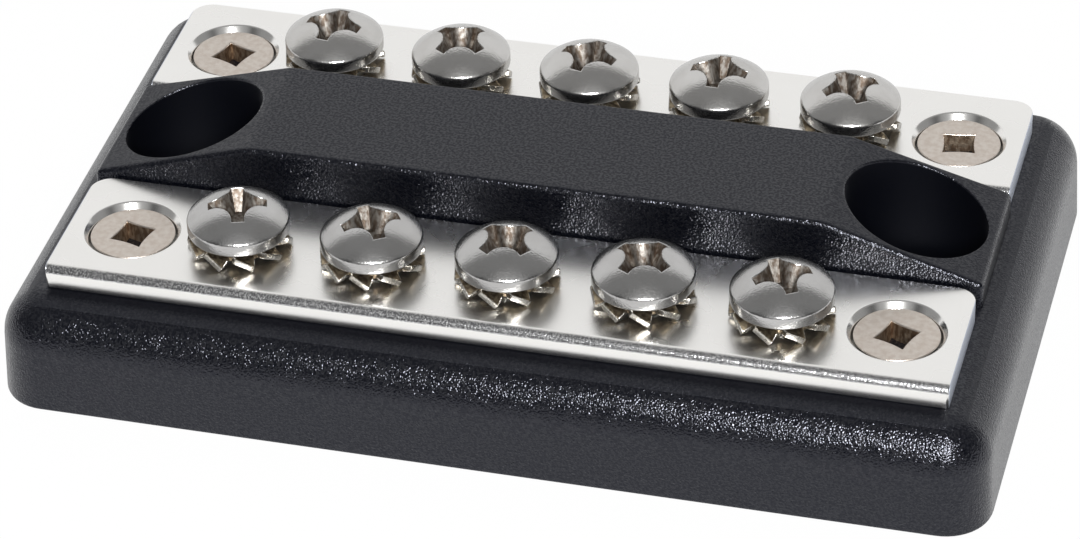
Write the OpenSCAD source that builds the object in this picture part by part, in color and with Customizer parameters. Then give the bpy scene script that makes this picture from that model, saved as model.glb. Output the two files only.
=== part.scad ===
// Two-bar terminal block: a moulded base with a ridge, two plated bars,
// countersunk fixing screws, and terminal screws with toothed lock washers.
// Millimetres. X runs along the bars, Y across them, Z up from the underside.

/* [Base] */
// Length of the base at its foot
base_l = 78; // [76:1:90]
// Width of the base at its foot
base_w = 46.4; // [45:0.2:52]
// Height of the flat top that carries the bars
base_h = 9; // [8.4:0.1:11]
// Radius of the rounded top edge
edge_r = 3.5; // [2.5:0.1:3.9]
// Draft of the side walls in degrees
side_draft = 2; // [0.5:0.1:3]

/* [Ridge] */
// Height of the ridge above the flat top of the base
ridge_h = 5.9; // [5:0.1:7]
// Draft of the ridge sides in degrees
ridge_draft = 4.4; // [1:0.1:6]
// Length of the slope at each end of the ridge
slope_l = 12.75; // [11:0.25:15]
// Height of the upright step at each end of the ridge
ridge_end_h = 2.1; // [1.2:0.1:3]

/* [Mounting holes] */
// Distance from the end of the base to its mounting hole
mount_end = 9.8; // [9.6:0.1:12]
// Diameter of the counterbore for the screw head
cbore_d = 11; // [9:0.1:11.4]
// Diameter of the through hole
mount_hole_d = 5; // [4.2:0.1:5.4]
// Thickness left under the screw head
mount_floor = 3.2; // [2.6:0.1:4]

/* [Bars] */
// Width of each bar
bar_w = 12.6; // [11:0.1:12.8]
// Thickness of each bar
bar_t = 1.9; // [1.5:0.1:2.5]
// Distance from the end of the base to the ends of the bars
end_margin = 3.7; // [3.4:0.1:4.4]
// Distance from the side of the base to the outer edge of a bar
side_margin = 3.95; // [3.6:0.05:4.4]
// Plan radius of the two rear corners of a bar
bar_corner_r = 1.7; // [0.8:0.1:2.2]
// Plan radius of the two front corners of a bar
front_corner_r = 0.4; // [0.3:0.1:1]
// Width of the bevel along the front top edge
bevel_run = 0.55; // [0.2:0.05:0.7]
// Height of the bevel along the front top edge
bevel_drop = 0.45; // [0.2:0.05:0.6]

/* [Terminal screws] */
// Distance from one terminal screw to the next
pitch = 10.7; // [9:0.1:11]
// Diameter of the screw head
head_d = 8; // [7.4:0.1:8.2]
// Height of the straight side of the head
head_rim = 1.1; // [0.8:0.1:1.4]
// Height of the dome above the side of the head
head_dome = 1.6; // [1.3:0.1:1.9]
// Diameter of the shank over its thread
shank_d = 4.1; // [3.8:0.05:4.2]
// Length of the shank below the head
shank_l = 9.5; // [7.5:0.5:9.5]
// Distance across the cross recess from wing tip to wing tip
recess_span = 4.6; // [4:0.1:4.8]
// Width of one wing of the cross recess
wing_w = 0.95; // [0.8:0.05:1.1]
// Depth of the cross recess below the top of the dome
recess_depth = 2; // [1.6:0.1:2.1]

/* [Lock washers] */
// Diameter over the washer teeth
washer_d = 8.2; // [7.8:0.1:8.4]
// Diameter of the plain ring inside the teeth
ring_d = 6.1; // [5.8:0.1:6.6]
// Thickness of the washer sheet
washer_t = 0.35; // [0.3:0.05:0.5]
// Number of teeth around one washer
teeth = 10; // [8:1:10]
// Width of one tooth
tooth_w = 1.85; // [1.3:0.05:1.9]
// Twist of one tooth out of the sheet in degrees
tooth_twist = 40; // [30:1:45]

/* [Fixing screws] */
// Diameter of the countersinks at the bar top
csk_d = 7.6; // [7.2:0.1:7.8]
// Distance from the end of a bar to its countersink
csk_end = 5.1; // [4.8:0.1:5.2]
// Diameter of the fixing screw face
fix_head_d = 6.4; // [6:0.1:6.6]
// Diameter of the fixing screw shank
fix_shank_d = 3.4; // [3:0.1:3.5]
// Length of the fixing screw below its face
fix_l = 8; // [6.5:0.5:8]
// Side of the square recess
drive_side = 2.75; // [2.4:0.05:2.9]
// Depth of the square recess
drive_depth = 2; // [1.4:0.1:2.2]

/* [Hidden] */
$fn = 96;
rows = 5;
over = 1;

// running clearance of a terminal shank in its bar and its washer
shank_gap = 0.05;
// clearance of a terminal shank in the blind hole of the base
well_gap = 0.55;
// free depth below the tip of a terminal screw
well_spare = 0.6;
// clearance of a washer from the bar below it and the head above it
seat_gap = 0.01;
// clearance between the ridge foot and the inner edge of a bar
ridge_gap = 0.15;
// clearance of a fixing screw in its cone
cone_gap = 0.02;
// clearance of a fixing shank in its pilot hole
pilot_gap = 0.02;
// clearance of a fixing shank in its bar
fix_hole_gap = 0.3;
// free depth below the tip of a fixing screw
pilot_spare = 0.3;
// how far a washer tooth reaches into the ring
tooth_root = 0.35;
// how far the recess fillets run past the sides of the wings
fillet_lap = 0.02;
// radius left at the corners of the flat top
flat_corner_r = 0.05;
// how far the ridge ends stand past the ends of the bars
ridge_past = 0.25;

edge_in = edge_r / cos(side_draft) + (base_h - edge_r) * tan(side_draft);
corner_r = edge_in + flat_corner_r;

bar_l = base_l - 2 * end_margin;
bar_z = base_h + bar_t;
bar_outer = base_w / 2 - side_margin;
bar_inner = bar_outer - bar_w;
row_y = (bar_outer + bar_inner) / 2;

ridge_end_x = bar_l / 2 + ridge_past;
ridge_z = base_h + ridge_h;
ridge_foot = bar_inner - ridge_gap;
ridge_top = ridge_foot - ridge_h * tan(ridge_draft);
flat_x = ridge_end_x - slope_l;
cbore_r = cbore_d / 2;
mount_x = base_l / 2 - mount_end;

head_r = head_d / 2;
shank_r = shank_d / 2;
washer_h = tooth_w * sin(tooth_twist) + washer_t * cos(tooth_twist);
head_z = bar_z + seat_gap + washer_h + seat_gap;
rim_z = head_z + head_rim;
apex_z = rim_z + head_dome;
dome_r = (head_r * head_r + head_dome * head_dome) / (2 * head_dome);
tip_z = head_z - shank_l;
well_z = tip_z - well_spare;
// bevel under the edge of a terminal screw head
under_in = 0.2;
// bevel at the tips of the screws
tip_c = 0.5;

span_r = recess_span / 2;
span_z = apex_z - dome_r + sqrt(dome_r * dome_r - span_r * span_r);
// radius of the recess at its floor
floor_r = 1;
floor_z = apex_z - recess_depth;
cone_slope = (span_r - floor_r) / (span_z - floor_z);
// reach of the fillets between the wings of the recess
web = 1.95;

csk_r = csk_d / 2;
csk_x = bar_l / 2 - csk_end;
fix_r = fix_head_d / 2;
fix_shank_r = fix_shank_d / 2;
fix_z = bar_z - (csk_r - fix_r - cone_gap);
fix_cone_h = fix_r - fix_shank_r;
fix_cone_z = fix_z - fix_cone_h;
fix_tip_z = fix_z - fix_l;
pilot_z = fix_tip_z - pilot_spare;

// how far each screw happens to be turned, in degrees
front_turn = [18, 33, 54, 61, 31];
rear_turn = [-8, 58, -14, -2, 34];
washer_turn_front = [4, 19, 11, 27, 8];
washer_turn_rear = [15, 6, 24, 10, 31];
drive_turn_front = [-12, -21];
drive_turn_rear = [-21, 9];

// X of a terminal screw, numbered from the left
function term_x(i) = (i - (rows + 1) / 2) * pitch;

// section of one side of the base: drafted wall, rounded top edge
module edge_section(reach) {
    cx = reach - edge_in;
    cz = base_h - edge_r;
    wall_x = cx + edge_r * cos(side_draft);
    wall_z = cz + edge_r * sin(side_draft);
    polygon([[0, 0], [reach, 0], [wall_x, wall_z], [cx, cz], [cx, base_h], [0, base_h]]);
    intersection() {
        translate([cx, cz])
            circle(r = edge_r);
        translate([cx, cz])
            square(edge_r + over);
    }
}

module both_sides(reach) {
    edge_section(reach);
    mirror([1, 0])
        edge_section(reach);
}

module base_block() {
    rotate([90, 0, 90])
        linear_extrude(height = base_l - 2 * corner_r, center = true)
            both_sides(base_w / 2);
    rotate([90, 0, 0])
        linear_extrude(height = base_w - 2 * corner_r, center = true)
            both_sides(base_l / 2);
    for (sx = [0, 1])
        for (sy = [0, 1])
            mirror([sx, 0, 0])
                mirror([0, sy, 0])
                    translate([base_l / 2 - corner_r, base_w / 2 - corner_r, 0])
                        rotate_extrude()
                            edge_section(corner_r);
}

module ridge() {
    foot = base_h - over;
    low = ridge_foot + over * tan(ridge_draft);
    intersection() {
        rotate([90, 0, 0])
            linear_extrude(height = 4 * ridge_foot, center = true)
                polygon([[-ridge_end_x, foot], [ridge_end_x, foot], [ridge_end_x, base_h + ridge_end_h],
                    [flat_x, ridge_z], [-flat_x, ridge_z], [-ridge_end_x, base_h + ridge_end_h]]);
        rotate([90, 0, 90])
            linear_extrude(height = 2 * base_l, center = true)
                polygon([[-low, foot], [low, foot], [ridge_top, ridge_z], [-ridge_top, ridge_z]]);
    }
}

// hole for a fixing screw, opened at its mouth for the end of the cone
module pilot_hole() {
    pilot_r = fix_shank_r + pilot_gap;
    reach = base_h + over - fix_cone_z;
    translate([0, 0, pilot_z])
        cylinder(r = pilot_r, h = base_h);
    translate([0, 0, fix_cone_z])
        cylinder(r1 = pilot_r, r2 = pilot_r + reach, h = reach);
}

module base() {
    color([0.06, 0.06, 0.07])
        difference() {
            union() {
                base_block();
                ridge();
            }
            for (sx = [-1, 1]) {
                translate([sx * mount_x, 0, mount_floor])
                    cylinder(r = cbore_r, h = ridge_z);
                translate([sx * mount_x, 0, -over])
                    cylinder(d = mount_hole_d, h = ridge_z);
            }
            for (sy = [-1, 1]) {
                for (i = [1:rows])
                    translate([term_x(i), sy * row_y, well_z])
                        cylinder(r = shank_r + well_gap, h = base_h);
                for (sx = [-1, 1])
                    translate([sx * csk_x, sy * row_y, 0])
                        pilot_hole();
            }
        }
}

module bar_plan() {
    front_l = bar_l - 2 * front_corner_r;
    rear_l = bar_l - 2 * bar_corner_r;
    translate([-bar_l / 2, -bar_w / 2 + front_corner_r])
        square([bar_l, bar_w - front_corner_r - bar_corner_r]);
    translate([-front_l / 2, -bar_w / 2])
        square([front_l, bar_w / 2]);
    translate([-rear_l / 2, 0])
        square([rear_l, bar_w / 2]);
    for (sx = [-1, 1]) {
        translate([sx * front_l / 2, -bar_w / 2 + front_corner_r])
            circle(r = front_corner_r);
        translate([sx * rear_l / 2, bar_w / 2 - bar_corner_r])
            circle(r = bar_corner_r);
    }
}

module bar() {
    half = bar_w / 2;
    bevel_slope = bevel_drop / bevel_run;
    difference() {
        intersection() {
            translate([0, 0, base_h])
                linear_extrude(height = bar_t)
                    bar_plan();
            rotate([90, 0, 90])
                linear_extrude(height = bar_l + 2 * over, center = true)
                    polygon([[-half - over, base_h - over], [half + over, base_h - over],
                        [half + over, bar_z + over],
                        [-half + bevel_run + over / bevel_slope, bar_z + over],
                        [-half - over, bar_z - bevel_drop - over * bevel_slope]]);
        }
        for (i = [1:rows])
            translate([term_x(i), 0, base_h - over])
                cylinder(r = shank_r + shank_gap, h = bar_t + 2 * over);
        for (sx = [-1, 1]) {
            translate([sx * csk_x, 0, base_h - over])
                cylinder(r = fix_shank_r + fix_hole_gap, h = bar_t + 2 * over);
            translate([sx * csk_x, 0, bar_z - csk_r])
                cylinder(r1 = 0, r2 = csk_r + over, h = csk_r + over);
        }
    }
}

module front_bar() {
    color([0.86, 0.86, 0.85])
        translate([0, -row_y, 0])
            bar();
}

module rear_bar() {
    color([0.86, 0.86, 0.85])
        translate([0, row_y, 0])
            bar();
}

module fixing_screw(turn) {
    difference() {
        union() {
            translate([0, 0, fix_cone_z])
                cylinder(r1 = fix_shank_r, r2 = fix_r, h = fix_cone_h);
            translate([0, 0, fix_tip_z + tip_c])
                cylinder(r = fix_shank_r, h = fix_l - tip_c - fix_cone_h / 2);
            translate([0, 0, fix_tip_z])
                cylinder(r1 = fix_shank_r - tip_c, r2 = fix_shank_r, h = tip_c);
        }
        translate([0, 0, fix_z - drive_depth])
            rotate([0, 0, turn])
                translate([-drive_side / 2, -drive_side / 2, 0])
                    cube([drive_side, drive_side, drive_depth + over]);
    }
}

module bar_screws() {
    color([0.72, 0.68, 0.62])
        for (k = [0, 1]) {
            translate([(2 * k - 1) * csk_x, -row_y, 0])
                fixing_screw(drive_turn_front[k]);
            translate([(2 * k - 1) * csk_x, row_y, 0])
                fixing_screw(drive_turn_rear[k]);
        }
}

// plan of the cross recess, wings along X and Y
module recess_plan() {
    square([2 * span_r + over, wing_w], center = true);
    square([wing_w, 2 * span_r + over], center = true);
    difference() {
        square(2 * web, center = true);
        for (sx = [-1, 1])
            for (sy = [-1, 1])
                translate([sx * web, sy * web])
                    circle(r = web - wing_w / 2 + fillet_lap);
    }
}

module terminal_screw(turn) {
    difference() {
        rotate_extrude() {
            polygon([[0, tip_z], [shank_r - tip_c, tip_z], [shank_r, tip_z + tip_c], [shank_r, head_z],
                [head_r - under_in, head_z], [head_r, head_z + under_in], [head_r, rim_z], [0, rim_z]]);
            intersection() {
                translate([0, apex_z - dome_r])
                    circle(r = dome_r);
                translate([0, rim_z])
                    square([head_r + over, head_dome + over]);
            }
        }
        intersection() {
            translate([0, 0, floor_z])
                cylinder(r1 = floor_r, r2 = floor_r + cone_slope * (recess_depth + over),
                    h = recess_depth + over);
            translate([0, 0, floor_z - over])
                linear_extrude(height = recess_depth + 3 * over)
                    rotate(turn)
                        recess_plan();
        }
    }
}

module lock_washer(turn) {
    bore_r = shank_r + shank_gap;
    mid_z = bar_z + seat_gap + washer_h / 2;
    reach = washer_d / 2 - bore_r;
    difference() {
        union() {
            translate([0, 0, mid_z - washer_t / 2])
                cylinder(d = ring_d, h = washer_t);
            intersection() {
                translate([0, 0, mid_z - washer_h])
                    cylinder(d = washer_d, h = 2 * washer_h);
                for (k = [0:teeth - 1])
                    rotate([0, 0, turn + k * 360 / teeth])
                        translate([ring_d / 2 - tooth_root, 0, mid_z])
                            rotate([-tooth_twist, 0, 0])
                                translate([0, -tooth_w / 2, -washer_t / 2])
                                    cube([reach, tooth_w, washer_t]);
            }
        }
        translate([0, 0, mid_z - washer_h])
            cylinder(r = bore_r, h = 2 * washer_h);
    }
}

module place_front(i) {
    translate([term_x(i), -row_y, 0])
        children();
}

module place_rear(i) {
    translate([term_x(i), row_y, 0])
        children();
}

module screw_front(i) {
    color([0.70, 0.68, 0.65])
        place_front(i)
            terminal_screw(front_turn[i - 1]);
}

module screw_rear(i) {
    color([0.70, 0.68, 0.65])
        place_rear(i)
            terminal_screw(rear_turn[i - 1]);
}

module washer_front(i) {
    color([0.66, 0.63, 0.56])
        place_front(i)
            lock_washer(washer_turn_front[i - 1]);
}

module washer_rear(i) {
    color([0.66, 0.63, 0.56])
        place_rear(i)
            lock_washer(washer_turn_rear[i - 1]);
}

base();
front_bar();
rear_bar();
bar_screws();
screw_front(1);  // terminal_screw_front_1
screw_front(2);  // terminal_screw_front_2
screw_front(3);  // terminal_screw_front_3
screw_front(4);  // terminal_screw_front_4
screw_front(5);  // terminal_screw_front_5
screw_rear(1);  // terminal_screw_rear_1
screw_rear(2);  // terminal_screw_rear_2
screw_rear(3);  // terminal_screw_rear_3
screw_rear(4);  // terminal_screw_rear_4
screw_rear(5);  // terminal_screw_rear_5
washer_front(1);  // lock_washer_front_1
washer_front(2);  // lock_washer_front_2
washer_front(3);  // lock_washer_front_3
washer_front(4);  // lock_washer_front_4
washer_front(5);  // lock_washer_front_5
washer_rear(1);  // lock_washer_rear_1
washer_rear(2);  // lock_washer_rear_2
washer_rear(3);  // lock_washer_rear_3
washer_rear(4);  // lock_washer_rear_4
washer_rear(5);  // lock_washer_rear_5
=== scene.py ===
"""Looks of a two-bar terminal block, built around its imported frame.

Metres throughout. X runs along the bars, Y from the front bar to the rear bar, Z up.
"""

import logging
import math
from dataclasses import dataclass, field
from enum import Enum
from typing import Any, Callable, Mapping, Optional, Sequence, Union

import bmesh
import bpy
from mathutils import Matrix, Vector


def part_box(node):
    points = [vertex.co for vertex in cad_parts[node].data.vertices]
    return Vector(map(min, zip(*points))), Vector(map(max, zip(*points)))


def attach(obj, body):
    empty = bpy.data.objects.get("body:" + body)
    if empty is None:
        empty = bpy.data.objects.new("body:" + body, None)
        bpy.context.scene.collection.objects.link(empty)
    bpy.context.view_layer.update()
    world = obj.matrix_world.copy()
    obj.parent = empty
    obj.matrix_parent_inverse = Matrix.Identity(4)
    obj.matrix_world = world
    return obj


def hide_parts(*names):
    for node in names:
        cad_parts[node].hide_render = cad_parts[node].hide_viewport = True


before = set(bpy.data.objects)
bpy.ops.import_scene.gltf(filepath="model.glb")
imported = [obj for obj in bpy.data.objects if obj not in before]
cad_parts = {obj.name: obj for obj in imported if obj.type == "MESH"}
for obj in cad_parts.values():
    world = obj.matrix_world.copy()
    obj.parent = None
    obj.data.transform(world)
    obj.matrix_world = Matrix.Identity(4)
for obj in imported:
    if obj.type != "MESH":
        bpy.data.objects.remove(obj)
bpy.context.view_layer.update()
MM = 0.001
TERMINALS = 5
CLEAR = 1.0 * MM  # how far a cutter stands out of what it cuts
NEAR = 1.0 * MM  # how far from its place a long edge is still found
TOLERANCE = 0.01 * MM  # for points on a plane
ROUND_TOLERANCE = 0.05 * MM  # for points on a circle of straight steps
POLE_WELD = 0.0001 * MM
CUT_WELD = 0.001 * MM
FLAT_ANGLE = math.radians(0.05)
SHARP_ANGLE = math.radians(32)
Colour = tuple[float, float, float, float]
Band = tuple[float, float]
log = logging.getLogger("terminal_block")


class Row(Enum):
    """The two rows of terminals."""

    FRONT = "front"
    REAR = "rear"


class Cut(Enum):
    """Ways to combine two solids."""

    JOIN = "UNION"
    REMOVE = "DIFFERENCE"
    KEEP = "INTERSECT"


class Bend(Enum):
    """Least bends, in degrees, between the two faces of an edge."""

    KINK = 5
    EDGE = 30
    STEEP = 40
    SQUARE = 80


class Signal:
    """A node's output, with the operators of ordinary maths."""

    def __init__(self, graph: "ShaderGraph", socket: bpy.types.NodeSocket) -> None:
        """Hold an output socket and the graph that it is in."""
        self.graph = graph
        self.socket = socket

    def __add__(self, other: "Value") -> "Signal":
        """Sum."""
        return self.graph.maths("ADD", self, other)

    def __radd__(self, other: "Value") -> "Signal":
        """Sum, with the signal on the right."""
        return self.graph.maths("ADD", other, self)

    def __sub__(self, other: "Value") -> "Signal":
        """Difference."""
        return self.graph.maths("SUBTRACT", self, other)

    def __rsub__(self, other: "Value") -> "Signal":
        """Difference, with the signal on the right."""
        return self.graph.maths("SUBTRACT", other, self)

    def __mul__(self, other: "Value") -> "Signal":
        """Product."""
        return self.graph.maths("MULTIPLY", self, other)

    def __rmul__(self, other: "Value") -> "Signal":
        """Product, with the signal on the right."""
        return self.graph.maths("MULTIPLY", other, self)

    def __abs__(self) -> "Signal":
        """Size without the sign."""
        return self.graph.maths("ABSOLUTE", self, 0.0)


Value = Union[Signal, float, Sequence[float]]


class ShaderGraph:
    """A node tree that is written as expressions."""

    def __init__(self, tree: bpy.types.NodeTree) -> None:
        """Empty a tree, to fill it anew."""
        self.tree = tree
        tree.nodes.clear()

    def node(self, kind: str, settings: Optional[Mapping[str, Any]] = None,
             inputs: Optional[Mapping[Union[str, int], Value]] = None, output: Union[str, int] = 0) -> Signal:
        """Add a node of any kind.

        Args:
            kind: The node's type.
            settings: Properties to set first.
            inputs: Values or signals for the input sockets.
            output: The output socket that is wanted.

        Returns:
            The wanted output.
        """
        made = self.tree.nodes.new(kind)
        for name, value in (settings or {}).items():
            setattr(made, name, value)
        for name, value in (inputs or {}).items():
            if isinstance(value, Signal):
                self.tree.links.new(value.socket, made.inputs[name])
            else:
                made.inputs[name].default_value = value
        return Signal(self, made.outputs[output])

    def end(self, kind: str, surface: Signal) -> None:
        """Send a shader to an output node of the given kind."""
        self.tree.links.new(surface.socket, self.tree.nodes.new(kind).inputs["Surface"])

    def maths(self, operation: str, first: Value, second: Value) -> Signal:
        """Join two numbers by a Math node."""
        return self.node("ShaderNodeMath", {"operation": operation}, {0: first, 1: second})

    def ramp(self, signal: Signal, low: float, high: float) -> Signal:
        """Ease from 0 to 1 as a signal goes from low to high."""
        return self.node("ShaderNodeMapRange", {"interpolation_type": "SMOOTHSTEP"},
                         {"Value": signal, "From Min": low, "From Max": high})

    def mix(self, share: Value, first: Value, second: Value) -> Signal:
        """Mix two colours."""
        return self.node("ShaderNodeMix", {"data_type": "RGBA"}, {0: share, 6: first, 7: second}, 2)

    def coordinates(self, stretch: Sequence[float] = (1.0, 1.0, 1.0)) -> Signal:
        """Give the object's own coordinates in metres, stretched along each axis."""
        place = self.node("ShaderNodeTexCoord", output="Object")
        return self.node("ShaderNodeMapping", {}, {"Vector": place, "Scale": stretch})

    def axis(self, vector: Signal, name: str) -> Signal:
        """Give one axis of a vector."""
        return self.node("ShaderNodeSeparateXYZ", {}, {"Vector": vector}, name)

    def noise(self, place: Signal, size: float, detail: float) -> Signal:
        """Give cloud noise whose lumps have about the given size in metres."""
        return self.node("ShaderNodeTexNoise", {}, {"Vector": place, "Scale": 1.0 / size, "Detail": detail})

    def bump(self, height: Signal, depth: float) -> Signal:
        """Turn a height from 0 to 1 into a bent normal, depth metres deep."""
        return self.node("ShaderNodeBump", {}, {"Strength": 1.0, "Distance": depth, "Height": height})


def arc(centre: tuple[float, float], radius: float, start: float, end: float,
        steps: int) -> list[tuple[float, float]]:
    """Give points along an arc from a start angle to an end angle, both in degrees."""
    angles = [math.radians(start + (end - start) * step / steps) for step in range(steps + 1)]
    return [(centre[0] + radius * math.cos(angle), centre[1] + radius * math.sin(angle)) for angle in angles]


def station(share: float, stations: Sequence[float]) -> float:
    """Give the station that belongs to a place from -1 to 1 on an even grid."""
    return stations[round((share + 1) * (len(stations) - 1) / 2)]


class Stock:
    """A solid in the making, with the operations of a workshop."""

    def __init__(self) -> None:
        """Start with nothing."""
        self.bm = bmesh.new()

    @classmethod
    def box(cls, low: Sequence[float], high: Sequence[float]) -> "Stock":
        """Make a block.

        Args:
            low: The corner with the lowest coordinates.
            high: The opposite corner.

        Returns:
            The block.
        """
        made = cls()
        size = Vector(high) - Vector(low)
        middle = Matrix.Translation((Vector(high) + Vector(low)) / 2)
        bmesh.ops.create_cube(made.bm, size=1.0, matrix=middle @ Matrix.Diagonal(size).to_4x4())
        return made

    @classmethod
    def grid(cls, along: int, across: int) -> "Stock":
        """Make a level sheet from -1 to 1, with so many faces along X and across it.

        Args:
            along: Number of faces along X.
            across: Number of faces along Y.

        Returns:
            The sheet.
        """
        made = cls()
        bmesh.ops.create_grid(made.bm, x_segments=along, y_segments=across, size=1.0)
        return made

    @classmethod
    def lathe(cls, profile: Sequence[tuple[float, float]], steps: int) -> "Stock":
        """Spin a profile of radius and height about Z.

        Args:
            profile: The points, in order along the profile.
            steps: Number of steps in the full turn.

        Returns:
            The turned solid.
        """
        made = cls()
        points = [made.bm.verts.new((radius, 0.0, height)) for radius, height in profile]
        lines = [made.bm.edges.new(pair) for pair in zip(points, points[1:])]
        bmesh.ops.spin(made.bm, geom=[*points, *lines], axis=(0, 0, 1), cent=(0, 0, 0), angle=math.tau,
                       steps=steps, use_merge=True)
        bmesh.ops.remove_doubles(made.bm, verts=made.bm.verts, dist=POLE_WELD)
        return made.face_out()

    def copy(self) -> "Stock":
        """Make a second solid like this one.

        Returns:
            The second solid.
        """
        made = Stock()
        made.bm.free()
        made.bm = self.bm.copy()
        return made

    def face_out(self) -> "Stock":
        """Turn all the faces outwards."""
        bmesh.ops.recalc_face_normals(self.bm, faces=self.bm.faces)
        return self

    def place(self, matrix: Matrix) -> "Stock":
        """Move or turn the solid."""
        bmesh.ops.transform(self.bm, matrix=matrix, verts=self.bm.verts)
        return self

    def add(self, other: "Stock") -> "Stock":
        """Put another closed solid beside or into this one without cutting either.

        Args:
            other: The other solid.

        Returns:
            This solid.
        """
        mesh = bpy.data.meshes.new("part")
        other.bm.to_mesh(mesh)
        self.bm.from_mesh(mesh)
        bpy.data.meshes.remove(mesh)
        return self

    def extrude(self) -> list[bmesh.types.BMVert]:
        """Extrude all the faces and give the new corners."""
        made = bmesh.ops.extrude_face_region(self.bm, geom=self.bm.faces[:])["geom"]
        return [item for item in made if isinstance(item, bmesh.types.BMVert)]

    def edges(self, least: Bend, test: Callable[[Vector], bool]) -> list[bmesh.types.BMEdge]:
        """Pick the edges that bend by more than the least and whose middle point passes a test."""
        return [edge for edge in self.bm.edges if edge.calc_face_angle(0.0) > math.radians(least.value)
                and test((edge.verts[0].co + edge.verts[1].co) / 2)]

    def round(self, edges: Sequence[bmesh.types.BMEdge], size: float, segments: int,
              clamp: bool = True) -> "Stock":
        """Round edges off, less where short edges leave no room unless clamp is off."""
        bmesh.ops.bevel(self.bm, geom=list(edges), offset=size, offset_type="OFFSET", segments=segments,
                        profile=0.5, affect="EDGES", clamp_overlap=clamp, loop_slide=True, material=-1)
        return self

    def mark(self, name: str, test: Callable[[Vector], bool]) -> "Stock":
        """Write 1 into a named value of the faces whose middle passes a test, and 0 elsewhere.

        Args:
            name: The value's name.
            test: Says whether a face with this middle point is wanted.

        Returns:
            This solid.
        """
        layer = self.bm.faces.layers.float.new(name)
        for face in self.bm.faces:
            face[layer] = float(test(face.calc_center_median()))
        return self

    def combine(self, tool: "Stock", cut: Cut) -> "Stock":
        """Join this solid with a tool, cut the tool out of it, or keep what both share.

        Args:
            tool: The other solid.
            cut: What to do with it.

        Returns:
            This solid.
        """
        body, other = self._as_object(), tool._as_object()
        change = body.modifiers.new("cut", "BOOLEAN")
        change.operation = cut.value
        change.solver = "EXACT"
        change.object = other
        done = bpy.data.meshes.new_from_object(body.evaluated_get(bpy.context.evaluated_depsgraph_get()))
        self.bm.clear()
        self.bm.from_mesh(done)
        meshes = [body.data, other.data, done]
        bpy.data.objects.remove(body)
        bpy.data.objects.remove(other)
        for mesh in meshes:
            bpy.data.meshes.remove(mesh)
        bmesh.ops.remove_doubles(self.bm, verts=self.bm.verts, dist=CUT_WELD)
        self._join_flat()
        return self

    def _join_flat(self) -> None:
        """Join faces in one plane, but keep the lines on Y = 0, so that no face runs all round a hole."""
        for edge in self.bm.edges:
            edge.seam = max(abs(vert.co.y) for vert in edge.verts) < CUT_WELD
        bmesh.ops.dissolve_limit(self.bm, angle_limit=FLAT_ANGLE, verts=self.bm.verts, edges=self.bm.edges,
                                 delimit={"SEAM"})

    def _as_object(self) -> bpy.types.Object:
        """Put a copy of the solid in the scene for a moment.

        Returns:
            The copy.
        """
        mesh = bpy.data.meshes.new("work")
        self.bm.to_mesh(mesh)
        made = bpy.data.objects.new("work", mesh)
        bpy.context.scene.collection.objects.link(made)
        return made

    def piece(self, node: str, body: str, slot: str, material: bpy.types.Material) -> bpy.types.Object:
        """Turn the solid into a finished piece that stands for a CAD node.

        Args:
            node: The CAD node, which also gives the piece its name.
            body: The body that the piece moves with.
            slot: The record's material slot, not used.
            material: The finish.

        Returns:
            The piece.
        """
        self.face_out()
        mesh = bpy.data.meshes.new(f"{node}_shape")
        self.bm.to_mesh(mesh)
        self.bm.free()
        mesh.materials.append(material)
        mesh.shade_smooth()
        mesh.set_sharp_from_angle(angle=SHARP_ANGLE)
        made = bpy.data.objects.new(f"{node}_shape", mesh)
        bpy.context.scene.collection.objects.link(made)
        even = made.modifiers.new("even_shading", "WEIGHTED_NORMAL")
        even.keep_sharp = True
        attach(made, body)
        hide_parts(node)
        log.info("%s: %d faces, rides on %s", made.name, len(mesh.polygons), body)
        return made


def new_material(name: str) -> tuple[bpy.types.Material, ShaderGraph]:
    """Make an empty node material.

    Args:
        name: The material's name.

    Returns:
        The material and its graph.
    """
    material = bpy.data.materials.new(name)
    material.use_nodes = True
    return material, ShaderGraph(material.node_tree)


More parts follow.
